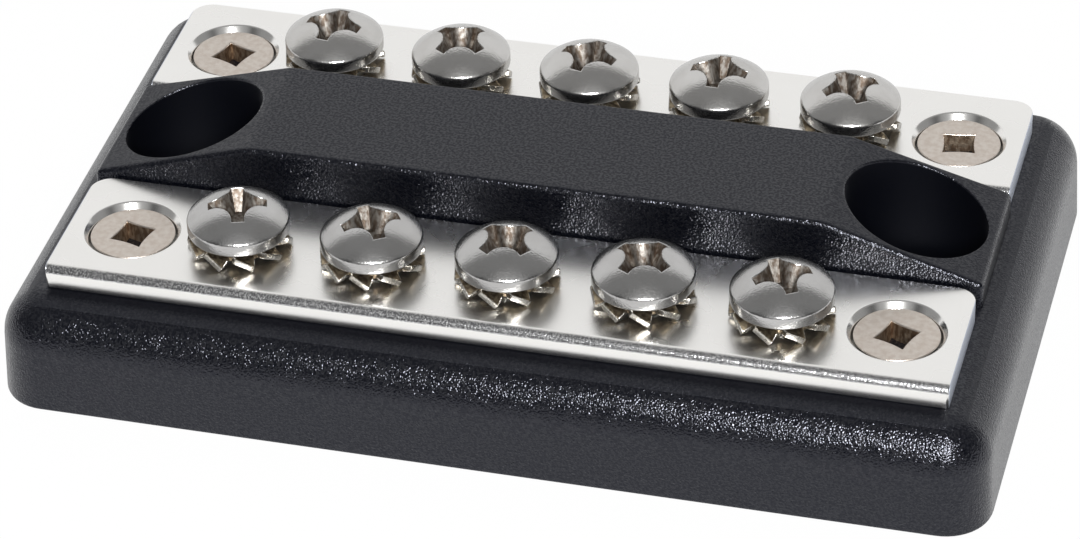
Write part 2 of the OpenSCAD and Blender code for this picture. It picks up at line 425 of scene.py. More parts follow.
@dataclass(frozen=True)
class MouldedPlastic:
    """Black plastic with a fine spark-eroded grain, smooth in the counterbores, and with painted shade: a
    dull, low-shine strip beside each bar.
    """

    colour: Colour = (0.0015, 0.0018, 0.0035, 1.0)
    worn: Colour = (0.0030, 0.0034, 0.0056, 1.0)
    sheen: Colour = (0.85, 0.87, 1.0, 1.0)
    specular: float = 0.44
    grain: float = 0.135 * MM
    depth: float = 0.049 * MM
    cloud: float = 9 * MM
    speck_ratio: float = 1.6
    speck_band: Band = (0.42, 0.60)
    level_band: Band = (0.93, 0.99)
    level_calm: float = 0.3
    flat_band: Band = (0.84, 0.92)
    graze_band: Band = (0.70, 0.92)
    bore_rough: float = 0.40
    open_gloss: float = 0.30
    cloud_rough: float = 0.04
    graze_rough: float = 0.20
    flat_rough: float = 0.40
    coat: float = 0.25
    level_coat: float = 0.32
    coat_rough: float = 0.50
    bore_x: float = 29.2 * MM
    bore: float = 5.5 * MM
    bore_band: Band = (-0.02 * MM, 0.10 * MM)
    # Painted shade: a dull, low-shine strip beside each bar, in place of the shade and dark reflection there.
    shade_strip_x: float = 35.3 * MM
    shade_strip_y: float = 19.3 * MM
    shade_strip_end: Band = (-0.6 * MM, 0.0)
    shade_strip_inner: Band = (-1.5 * MM, -0.75 * MM)
    shade_strip_outer: Band = (0.45 * MM, 1.5 * MM)
    shade_strip_share: float = 0.92
    shade_strip_rough: float = 0.45
    shade_strip_specular: float = 0.06

    def build(self) -> bpy.types.Material:
        """Make the material.

        Returns:
            The material.
        """
        material, graph = new_material("moulded_plastic")
        place = graph.coordinates()
        grain = graph.noise(place, self.grain, detail=0.0)
        clouds = graph.noise(place, self.cloud, detail=3.0)
        along = abs(graph.axis(place, "X"))
        across = abs(graph.axis(place, "Y"))
        open_air = self._outside(graph, along, across)
        specks = graph.noise(place, self.speck_ratio * self.grain, detail=1.0)
        specks = open_air * graph.ramp(specks, *self.speck_band)
        upward = graph.axis(graph.node("ShaderNodeNewGeometry", output="True Normal"), "Z")
        level = graph.ramp(upward, *self.level_band)
        flat = open_air * graph.ramp(upward, *self.flat_band)
        grazing = graph.node("ShaderNodeLayerWeight", {}, {"Blend": 0.5}, "Facing")
        grazing = graph.ramp(grazing, *self.graze_band)
        colour = graph.mix(0.5 * specks + 0.5 * clouds * open_air, self.colour, self.worn)
        shiny = graph.node("ShaderNodeBsdfPrincipled", {}, {
            "Base Color": colour,
            "Roughness": (self.bore_rough - self.open_gloss * open_air + self.cloud_rough * clouds
                          + self.graze_rough * grazing + self.flat_rough * flat),
            "Specular IOR Level": self.specular,
            "Specular Tint": self.sheen,
            "Coat Weight": (self.coat + self.level_coat * level) * specks,
            "Coat Roughness": self.coat_rough,
            "Normal": graph.bump(open_air * grain * (1.0 - self.level_calm * level), self.depth),
        })
        # Painted shade: a dull, low-shine copy of the plastic, mixed in on the strip beside each bar.
        matt = graph.node("ShaderNodeBsdfPrincipled", {}, {
            "Base Color": colour,
            "Roughness": self.shade_strip_rough,
            "Specular IOR Level": self.shade_strip_specular,
            "Specular Tint": self.sheen,
        })
        share = self.shade_strip_share * self._painted_shade_strip(graph, along, across)
        surface = graph.node("ShaderNodeMixShader", {}, {0: share, 1: shiny, 2: matt})
        graph.end("ShaderNodeOutputMaterial", surface)
        return material

    def _outside(self, graph: ShaderGraph, along: Signal, across: Signal) -> Signal:
        """Give 0 inside the counterbores and 1 elsewhere.

        Args:
            graph: The graph to add to.
            along: Distance from the middle along the bars.
            across: Distance from the middle across the bars.

        Returns:
            The mask.
        """
        off = along - self.bore_x
        away = graph.maths("POWER", off * off + across * across, 0.5)
        return graph.ramp(away - self.bore, *self.bore_band)

    def _painted_shade_strip(self, graph: ShaderGraph, along: Signal, across: Signal) -> Signal:
        """Give 1 on the strip beside each bar, where shade is painted, and 0 elsewhere.

        Args:
            graph: The graph to add to.
            along: Distance from the middle along the bars.
            across: Distance from the middle across the bars.

        Returns:
            The mask.
        """
        within = 1.0 - graph.ramp(along - self.shade_strip_x, *self.shade_strip_end)
        off = across - self.shade_strip_y
        return within * (1.0 - graph.ramp(off, *self.shade_strip_outer)) * graph.ramp(off, *self.shade_strip_inner)


@dataclass(frozen=True)
class BrightPlate:
    """Bright nickel plate over rolled bar, pitted on the rounded edge, sheared at the ends and painted bluish
    there as a painted reflection.
    """

    colour: Colour = (0.94, 0.93, 0.91, 1.0)
    dull: Colour = (0.88, 0.868, 0.84, 1.0)
    edge: Colour = (0.80, 0.80, 0.80, 1.0)
    pitted: Colour = (0.36, 0.36, 0.37, 1.0)
    # Painted reflection: a bluish colour on the end faces.
    end_painted_reflection: Colour = (0.62, 0.66, 0.74, 1.0)
    top: float = 10.9 * MM
    top_band: Band = (-0.12 * MM, -0.01 * MM)
    end: float = 35.3 * MM
    end_band: Band = (-0.08 * MM, -0.02 * MM)
    front: float = 19.25 * MM
    step: float = 25.9 * MM
    step_band: Band = (-1.0 * MM, 1.0 * MM)
    edge_band: Band = (-0.65 * MM, -0.55 * MM)
    edge_depth: Band = (0.70 * MM, 0.80 * MM)
    cloud: float = 6 * MM
    pit: float = 0.13 * MM
    pit_band: Band = (0.42, 0.62)
    streak: float = 0.12 * MM
    streak_stretch: tuple[float, float, float] = (0.04, 1.0, 1.0)
    streak_share: float = 0.03
    shear: float = 0.15 * MM
    shear_stretch: tuple[float, float, float] = (1.0, 1.0, 0.10)
    depth: float = 0.020 * MM
    roughness: float = 0.14
    cloud_rough: float = 0.05
    top_rough: float = 0.11
    edge_rough: float = 0.04
    end_rough: float = 0.30

    def build(self) -> bpy.types.Material:
        """Make the material.

        Returns:
            The material.
        """
        material, graph = new_material("bright_plate")
        place = graph.coordinates()
        streaks = graph.noise(graph.coordinates(self.streak_stretch), self.streak, detail=2.0)
        shear = graph.noise(graph.coordinates(self.shear_stretch), self.shear, detail=2.0)
        clouds = graph.noise(place, self.cloud, detail=3.0)
        pits = graph.noise(place, self.pit, detail=1.0)
        above = graph.axis(place, "Z") - self.top
        upper = graph.ramp(above, *self.top_band)
        ends = graph.ramp(abs(graph.axis(place, "X")) - self.end, *self.end_band)
        across = graph.axis(place, "Y")
        behind = across + self.front - self.step * graph.ramp(across, *self.step_band)
        edge = (graph.ramp(above, *self.edge_band) - upper) * (1.0 - graph.ramp(behind, *self.edge_depth))
        spots = graph.mix(graph.ramp(pits, *self.pit_band), self.pitted, self.edge)
        plate = graph.mix(edge, graph.mix(clouds, self.colour, self.dull), spots)
        shader = graph.node("ShaderNodeBsdfPrincipled", {}, {
            # The ends get a bluish painted reflection.
            "Base Color": graph.mix(ends, plate, self.end_painted_reflection),
            "Metallic": 1.0,
            "Roughness": (self.roughness + self.cloud_rough * clouds + self.top_rough * upper
                          + self.edge_rough * edge + self.end_rough * ends),
            "Normal": graph.bump(self.streak_share * streaks + edge * pits + ends * shear, self.depth),
        })
        graph.end("ShaderNodeOutputMaterial", shader)
        return material


@dataclass(frozen=True)
class TumbledSteel:
    """Plated steel hardware with a tumbled surface and a duller recess, painted darker and browner there as
    painted shade.
    """

    name: str
    colour: Colour
    shade: Colour
    roughness: float
    mottle: float = 2.5 * MM
    mottle_band: Band = (0.3, 0.7)
    mottle_rough: float = 0.05
    pit: float = 0.12 * MM
    depth: float = 0.012 * MM
    haze: float = 0.07
    haze_ratio: float = 1.5
    haze_band: Band = (0.40, 0.62)
    tint: Colour = (0.70, 0.70, 0.70, 1.0)
    coat: float = 0.8
    coat_rough: float = 0.42
    # Painted shade: the recess colours darken and warm the recess of each screw and the faces of each washer,
    # where shade falls.
    recess: Colour = (0.31, 0.29, 0.265, 1.0)
    deeper_shade: Colour = (0.13, 0.10, 0.078, 1.0)
    recess_rough: float = 0.45
    streak: float = 0.30 * MM
    streak_stretch: tuple[float, float, float] = (1.0, 1.0, 0.45)
    streak_band: Band = (0.34, 0.64)

    def build(self) -> bpy.types.Material:
        """Make the material.

        Returns:
            The material.
        """
        material, graph = new_material(self.name)
        place = graph.coordinates()
        pits = graph.noise(place, self.pit, detail=0.0)
        clouds = graph.ramp(graph.noise(place, self.mottle, detail=3.0), *self.mottle_band)
        inside = graph.node("ShaderNodeAttribute", {"attribute_name": "recess"}, output="Fac")
        streaks = graph.noise(graph.coordinates(self.streak_stretch), self.streak, detail=2.0)
        # Painted shade in the recess, in streaks of a deeper shade.
        painted_shade_colour = graph.mix(graph.ramp(streaks, *self.streak_band), self.recess, self.deeper_shade)
        specks = graph.ramp(graph.noise(place, self.haze_ratio * self.pit, detail=1.0), *self.haze_band)
        shader = graph.node("ShaderNodeBsdfPrincipled", {}, {
            "Base Color": graph.mix(inside, graph.mix(clouds, self.colour, self.shade), painted_shade_colour),
            "Metallic": 1.0,
            "Roughness": (self.roughness + self.mottle_rough * clouds + self.haze * specks
                          + (self.recess_rough - self.roughness) * inside),
            "Specular Tint": self.tint,
            "Coat Weight": self.coat - self.coat * inside,
            "Coat Roughness": self.coat_rough,
            "Normal": graph.bump(pits, self.depth),
        })
        graph.end("ShaderNodeOutputMaterial", shader)
        return material


@dataclass
class Studio:
    """White sweep, soft lamp about the camera, and the camera itself."""

    azimuth: float = 0.27224
    elevation: float = 0.62974
    roll: float = -0.03232
    distance: float = 359.011 * MM
    target: tuple[float, float, float] = (0.298 * MM, -4.762 * MM, 6.0 * MM)
    lens: float = 152.714
    sensor: float = 36.0
    nearest: float = 0.01
    sweep: float = 0.89
    sweep_band: Band = (0.32, 0.44)
    ceiling: float = 0.275
    ceiling_band: Band = (-0.55, -0.10)
    front: float = 0.06
    halo: float = 0.25
    halo_band: Band = (0.70, 0.88)
    lamp_elevation: float = math.radians(36)
    lamp_side: float = math.radians(17)
    lamp_away: float = 0.75
    lamp_wide: float = 0.226
    lamp_glow: float = 52.0
    floor_half: float = 3.0
    floor_gap: float = 0.02 * MM
    floor_colour: Colour = (0.95, 0.95, 0.95, 1.0)
    floor_glow: float = 0.97
    black: Colour = (0.0, 0.0, 0.0, 1.0)
    white: Colour = (1.0, 1.0, 1.0, 1.0)

    def build(self) -> None:
        """Make the floor, the light and the camera."""
        self._add_floor()
        self._light_room()
        self._add_lamp()
        self._add_camera()
        bpy.context.scene.view_settings.view_transform = "Standard"

    def _add_floor(self) -> None:
        """Lay the pale floor just below the base, evenly white to the camera and to shiny pieces."""
        bm = bmesh.new()
        bmesh.ops.create_grid(bm, x_segments=2, y_segments=2, size=self.floor_half)
        bmesh.ops.translate(bm, verts=bm.verts, vec=(0.0, 0.0, -self.floor_gap))
        mesh = bpy.data.meshes.new("floor")
        bm.to_mesh(mesh)
        bm.free()
        floor = bpy.data.objects.new("floor", mesh)
        bpy.context.scene.collection.objects.link(floor)
        material, graph = new_material("white_floor")
        seen = graph.maths("MAXIMUM", graph.node("ShaderNodeLightPath", output="Is Camera Ray"),
                           graph.node("ShaderNodeLightPath", output="Is Glossy Ray"))
        matt = graph.node("ShaderNodeBsdfDiffuse", {}, {"Color": self.floor_colour})
        glow = graph.node("ShaderNodeEmission", {}, {"Color": self.white, "Strength": 1.0})
        surface = graph.node("ShaderNodeMixShader", {}, {0: self.floor_glow * seen, 1: matt, 2: glow})
        graph.end("ShaderNodeOutputMaterial", surface)
        mesh.materials.append(material)

    def _light_room(self) -> None:
        """Light the room: a white sweep behind the object, grey above it and dark in front."""
        world = bpy.data.worlds.new("studio")
        world.use_nodes = True
        bpy.context.scene.world = world
        graph = ShaderGraph(world.node_tree)
        way = graph.node("ShaderNodeTexCoord", output="Generated")
        turned = graph.node("ShaderNodeVectorRotate", {"rotation_type": "Z_AXIS"},
                            {"Vector": way, "Angle": -self.azimuth})
        across = graph.axis(turned, "Y")
        overhead = graph.ramp(across, *self.ceiling_band)
        behind = graph.ramp(across, *self.sweep_band)
        aim = graph.node("ShaderNodeVectorMath", {"operation": "DOT_PRODUCT"},
                         {0: way, 1: self._lamp_way()}, "Value")
        level = (self.front + (self.ceiling - self.front) * overhead + (self.sweep - self.ceiling) * behind
                 + self.halo * graph.ramp(aim, *self.halo_band))
        shown = graph.maths("MAXIMUM", level, graph.node("ShaderNodeLightPath", output="Is Camera Ray"))
        glow = graph.node("ShaderNodeBackground", {},
                          {"Color": graph.mix(shown, self.black, self.white), "Strength": 1.0})
        graph.end("ShaderNodeOutputWorld", glow)

    def _lamp_way(self) -> Vector:
        """Give the direction from the object to the lamp."""
        level = Vector((math.sin(self.lamp_side), -math.cos(self.lamp_side), 0.0))
        return level * math.cos(self.lamp_elevation) + Vector((0.0, 0.0, math.sin(self.lamp_elevation)))

    def _aim(self, azimuth: float, elevation: float, away: float, roll: float = 0.0) -> Matrix:
        """Place something that looks at the target.

        Args:
            azimuth: Angle about Z from the front, positive to the right.
            elevation: Angle above the floor.
            away: Distance from the target.
            roll: Turn about the line of sight.

        Returns:
            The place and turn as a matrix.
        """
        turn = (Matrix.Rotation(azimuth, 4, "Z") @ Matrix.Rotation(math.pi / 2 - elevation, 4, "X")
                @ Matrix.Rotation(roll, 4, "Z"))
        return Matrix.Translation(self.target) @ turn @ Matrix.Translation((0.0, 0.0, away))

    def _add_lamp(self) -> None:
        """Hang the soft lamp about the camera."""
        light = bpy.data.lights.new("soft_lamp", "AREA")
        light.shape = "DISK"
        light.size = self.lamp_wide
        light.energy = self.lamp_glow * math.pi * math.pi / 4 * self.lamp_wide ** 2
        lamp = bpy.data.objects.new("soft_lamp", light)
        lamp.matrix_world = self._aim(self.lamp_side, self.lamp_elevation, self.lamp_away)
        bpy.context.scene.collection.objects.link(lamp)

    def _add_camera(self) -> None:
        """Set up the camera where the photograph was taken from."""
        data = bpy.data.cameras.new("camera")
        data.sensor_fit = "HORIZONTAL"
        data.sensor_width = self.sensor
        data.lens = self.lens
        data.clip_start = self.nearest
        camera = bpy.data.objects.new("camera", data)
        camera.matrix_world = self._aim(self.azimuth, self.elevation, self.distance, self.roll)
        bpy.context.scene.collection.objects.link(camera)
        bpy.context.scene.camera = camera


@dataclass
class MouldedBase:
    """Base with rounded edges, a ridge with sloped ends, and two counterbored mounting holes."""

    length: float = 78.0 * MM
    width: float = 46.4 * MM
    height: float = 9.0 * MM
    draft: float = math.radians(2.0)
    edge: float = 3.74 * MM
    edge_steps: int = 12
    foot: float = 0.25 * MM
    foot_steps: int = 2
    ridge_half: float = 6.5 * MM
    ridge_rise: float = 5.9 * MM
    ridge_draft: float = math.radians(4.4)
    ridge_end: float = 35.55 * MM
    ridge_flat: float = 22.8 * MM
    ridge_step: float = 2.1 * MM
    ridge_sunk: float = 1.0 * MM
    ridge_soft: float = 0.40 * MM
    kink_soft: float = 0.5 * MM
    step_fillet: float = 0.6 * MM
    soft_steps: int = 4
    hole_x: float = 29.2 * MM
    counterbore: float = 5.5 * MM
    hole: float = 2.5 * MM
    hole_floor: float = 3.2 * MM
    hole_steps: int = 96
    mouth_soft: float = 0.22 * MM
    mouth_steps: int = 3

    def build(self, material: bpy.types.Material) -> None:
        """Make the base.

        Args:
            material: The plastic.
        """
        base = self._block().combine(self._ridge(), Cut.JOIN)
        for side in (-1, 1):
            base.combine(self._hole().place(Matrix.Translation((side * self.hole_x, 0, 0))), Cut.REMOVE)
        base.round(base.edges(Bend.EDGE, self._on_step), self.step_fillet, self.soft_steps)
        base.round(base.edges(Bend.EDGE, self._on_mouth), self.mouth_soft, self.mouth_steps)
        base.piece("base", "root", "base_plastic", material)

    def _on_step(self, point: Vector) -> bool:
        """Say whether a point lies where an end of the ridge meets the flat top."""
        return abs(point.z - self.height) < TOLERANCE and abs(abs(point.x) - self.ridge_end) < 2 * TOLERANCE

    def _on_mouth(self, point: Vector) -> bool:
        """Say whether a point lies on the mouth of a counterbore."""
        away = math.hypot(abs(point.x) - self.hole_x, point.y)
        return point.z > self.height and abs(away - self.counterbore) < ROUND_TOLERANCE

    def _on_kink(self, point: Vector) -> bool:
        """Say whether a point lies in the middle of a line where the ridge begins to slope."""
        at_kink = abs(point.y) < TOLERANCE and abs(abs(point.x) - self.ridge_flat) < TOLERANCE
        return at_kink and point.z > self.height

    def _block(self) -> Stock:
        """Make the block with drafted sides, its corners and upper edges rounded alike.

        Returns:
            The block.
        """
        half = Vector((self.length / 2, self.width / 2, 0.0))
        block = Stock.box(-half, half + Vector((0.0, 0.0, self.height)))
        inset = self.height * math.tan(self.draft)
        for vert in block.bm.verts:
            if vert.co.z > 0:
                vert.co.x -= math.copysign(inset, vert.co.x)
                vert.co.y -= math.copysign(inset, vert.co.y)
        block.round(block.edges(Bend.EDGE, lambda point: point.z > TOLERANCE), self.edge, self.edge_steps)
        lower = block.edges(Bend.EDGE, lambda point: point.z < TOLERANCE)
        return block.round(lower, self.foot, self.foot_steps)

    def _ridge(self) -> Stock:
        """Make the ridge, with its foot sunk into the block.

        Returns:
            The ridge.
        """
        foot = self.height - self.ridge_sunk
        stations = (-self.ridge_end, -self.ridge_flat, self.ridge_flat, self.ridge_end)
        ridge = Stock.grid(len(stations) - 1, 1)
        for vert in ridge.bm.verts:
            vert.co = (station(vert.co.x, stations), math.copysign(self.ridge_half, vert.co.y), foot)
        for vert in ridge.extrude():
            flat = abs(vert.co.x) < self.ridge_flat + TOLERANCE
            rise = self.ridge_rise if flat else self.ridge_step
            half = self.ridge_half - rise * math.tan(self.ridge_draft)
            vert.co = (vert.co.x, math.copysign(half, vert.co.y), self.height + rise)
        ridge.face_out()
        ridge.round(ridge.edges(Bend.KINK, self._on_kink), self.kink_soft, self.soft_steps)
        upper = ridge.edges(Bend.STEEP, lambda point: point.z > foot + ROUND_TOLERANCE)
        return ridge.round(upper, self.ridge_soft, self.soft_steps)

    def _hole(self) -> Stock:
        """Make the cutter for a through hole and its counterbore.

        Returns:
            The cutter.
        """
        top = self.height + 2 * self.ridge_rise
        profile = [(0, -CLEAR), (self.hole, -CLEAR), (self.hole, self.hole_floor),
                   (self.counterbore, self.hole_floor), (self.counterbore, top), (0, top)]
        return Stock.lathe(profile, self.hole_steps)


@dataclass
class PlatedBar:
    """Flat bar with a rounded front edge, tapped holes and a countersink near each end."""

    row: Row
    low: Vector = field(init=False)
    high: Vector = field(init=False)
    edge: float = 0.7 * MM
    edge_steps: int = 8
    small_edge: float = 0.12 * MM
    small_steps: int = 3
    lean: float = 0.13 * MM
    rear_corner: float = 1.7 * MM
    rear_steps: int = 10
    front_corner: float = 0.4 * MM
    front_steps: int = 5
    outline_spare: float = 0.005 * MM
    pitch: float = 10.7 * MM
    tapped: float = 2.1 * MM
    tapped_steps: int = 48
    sink_x: float = 30.2 * MM
    sink: float = 3.8 * MM
    sink_slope: float = math.radians(54.5)
    sink_steps: int = 96
    rim: float = 0.12 * MM

    def __post_init__(self) -> None:
        """Take the bar's place from the frame."""
        self.low, self.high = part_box(self.node)

    @property
    def node(self) -> str:
        """Name of the bar's CAD node."""
        return f"{self.row.value}_bar"

    @property
    def middle(self) -> Vector:
        """Middle of the bar."""
        return (self.low + self.high) / 2

    def build(self, material: bpy.types.Material) -> None:
        """Make the bar.

        Args:
            material: The plate.
        """
        bar = self._strip().combine(self._outline(), Cut.KEEP).combine(self._holes(), Cut.REMOVE)
        bar.round(bar.edges(Bend.STEEP, self._on_rim), self.rim, self.small_steps)
        bar.round(bar.edges(Bend.STEEP, self._at_ends), self.small_edge, self.small_steps)
        bar.piece(self.node, "root", "bar_plate", material)

    def _on_rim(self, point: Vector) -> bool:
        """Say whether a point lies on the rim of a countersink."""
        away = math.hypot(abs(point.x) - self.sink_x, point.y - self.middle.y)
        return abs(point.z - self.high.z) < TOLERANCE and abs(away - self.sink) < ROUND_TOLERANCE

    def _at_ends(self, point: Vector) -> bool:
        """Say whether a point lies near an end of the bar or at its rear."""
        return abs(point.x) > self.high.x - self.rear_corner or point.y > self.high.y - self.small_edge

    def _along_front(self, point: Vector) -> bool:
        """Say whether an edge with this middle point runs along the front of the strip."""
        return abs(point.x) < NEAR and point.y < self.low.y + NEAR

    def _strip(self) -> Stock:
        """Make a length of strip whose front leans in a little below a rounded edge.

        Returns:
            The strip, longer and wider than the bar.
        """
        strip = Stock.box(self.low - Vector((CLEAR, 0.0, 0.0)), self.high + Vector((CLEAR, CLEAR, 0.0)))
        level = self.middle.z
        for vert in strip.bm.verts:
            if vert.co.z > level and vert.co.y < self.high.y:
                vert.co.y += self.lean
        front = strip.edges(Bend.EDGE, lambda point: self._along_front(point) and point.z > level)
        strip.round(front, self.edge, self.edge_steps)
        foot = strip.edges(Bend.EDGE, lambda point: self._along_front(point)
                           and point.z < self.low.z + TOLERANCE)
        return strip.round(foot, self.small_edge, self.small_steps)

    def _outline(self) -> Stock:
        """Make the plan of the bar, with its rounded corners, as a thick block.

        Returns:
            The block.
        """
        spare = Vector((0.0, self.outline_spare, CLEAR))
        outline = Stock.box(self.low - spare, self.high + spare)
        for side, size, steps in ((1, self.rear_corner, self.rear_steps),
                                  (-1, self.front_corner, self.front_steps)):
            upright = outline.edges(Bend.SQUARE, lambda point: abs(point.z - self.middle.z) < TOLERANCE
                                    and side * (point.y - self.middle.y) > 0)
            outline.round(upright, size, steps)
        return outline

    def _holes(self) -> Stock:
        """Make the cutters for the tapped holes and the countersinks.

        Returns:
            The cutters.
        """
        floor, top = self.low.z - CLEAR, self.high.z + CLEAR
        cutters = Stock()
        for number in range(TERMINALS):
            spot = Matrix.Translation(((number - TERMINALS // 2) * self.pitch, self.middle.y, 0))
            profile = [(0, floor), (self.tapped, floor), (self.tapped, top), (0, top)]
            cutters.add(Stock.lathe(profile, self.tapped_steps).place(spot))
        rise = math.tan(self.sink_slope)
        neck = self.sink - (self.high.z - floor) / rise
        mouth = self.sink + CLEAR / rise
        for side in (-1, 1):
            spot = Matrix.Translation((side * self.sink_x, self.middle.y, 0))
            profile = [(0, floor), (neck, floor), (mouth, top), (0, top)]
            cutters.add(Stock.lathe(profile, self.sink_steps).place(spot))
        return cutters


@dataclass
class FixingScrews:
    """Four countersunk screws with square recesses."""

    sink_x: float = 30.2 * MM
    row_y: float = 12.95 * MM
    face: float = 3.32 * MM
    face_edge: float = 0.08 * MM
    face_lean: float = 0.02 * MM
    lift: float = 0.2 * MM
    shank: float = 1.7 * MM
    tip: float = 0.5 * MM
    steps: int = 72
    side: float = 2.75 * MM
    side_steps: int = 6
    depth: float = 2.0 * MM
    taper: float = 0.78
    bow: float = 0.09
    mouth: float = 0.12 * MM
    mouth_steps: int = 3
    mouth_reach: float = 0.8  # share of the face
    recess_reach: float = 0.52  # share of the side
    skin: float = 0.1 * MM
    turns: dict[Row, tuple[float, float]] = field(default_factory=lambda: {
        Row.FRONT: (-12, -21), Row.REAR: (-21, 9)})

    def build(self, material: bpy.types.Material) -> None:
        """Make the screws.

        Args:
            material: The plated steel.
        """
        low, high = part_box("bar_screws")
        screw = self._screw(low.z, high.z + self.lift)
        screws = Stock()
        for row, sign in ((Row.FRONT, -1), (Row.REAR, 1)):
            for side, turn in zip((-1, 1), self.turns[row]):
                spot = Matrix.Translation((side * self.sink_x, sign * self.row_y, 0))
                screws.add(screw.copy().place(spot @ Matrix.Rotation(math.radians(turn), 4, "Z")))
        screws.piece("bar_screws", "root", "fixing_steel", material)

    def _screw(self, tip_z: float, face_z: float) -> Stock:
        """Make one screw on the Z axis.

        Args:
            tip_z: Height of the tip.
            face_z: Height of the face.

        Returns:
            The screw.
        """
        neck = face_z - (self.face - self.shank)
        profile = [(0, tip_z), (self.shank - self.tip, tip_z), (self.shank, tip_z + self.tip),
                   (self.shank, neck), (self.face - self.face_lean, face_z - self.face_edge),
                   (self.face - self.face_edge, face_z), (0, face_z)]
        screw = Stock.lathe(profile, self.steps).combine(self._recess(face_z), Cut.REMOVE)
        mouth = screw.edges(Bend.EDGE, lambda point: self._on_mouth(point, face_z))
        screw.round(mouth, self.mouth, self.mouth_steps)
        # The recess gets painted shade.
        return screw.mark("recess", lambda point: self._in_recess(point, face_z))

    def _on_mouth(self, point: Vector, face_z: float) -> bool:
        """Say whether a point lies on the mouth of the recess."""
        return abs(point.z - face_z) < TOLERANCE and point.xy.length < self.mouth_reach * self.face

    def _in_recess(self, point: Vector, face_z: float) -> bool:
        """Say whether a point lies on the walls or the floor of the recess."""
        within = max(abs(point.x), abs(point.y)) < self.recess_reach * self.side
        return within and self.skin < face_z - point.z < self.depth + self.skin

    def _recess(self, face_z: float) -> Stock:
        """Make the cutter for the square recess, whose sides bow in and close up with depth.

        Args:
            face_z: Height of the screw's face.

        Returns:
            The cutter.
        """
        half = self.side / 2
        recess = Stock.grid(self.side_steps, self.side_steps)
        for vert in recess.bm.verts:
            along, across = vert.co.x, vert.co.y
            vert.co.x = half * along * (1 - self.bow * (1 - across ** 2))
            vert.co.y = half * across * (1 - self.bow * (1 - along ** 2))
            vert.co.z = face_z + CLEAR
        for vert in recess.extrude():
            vert.co = (vert.co.x * self.taper, vert.co.y * self.taper, face_z - self.depth)
        return recess.face_out()


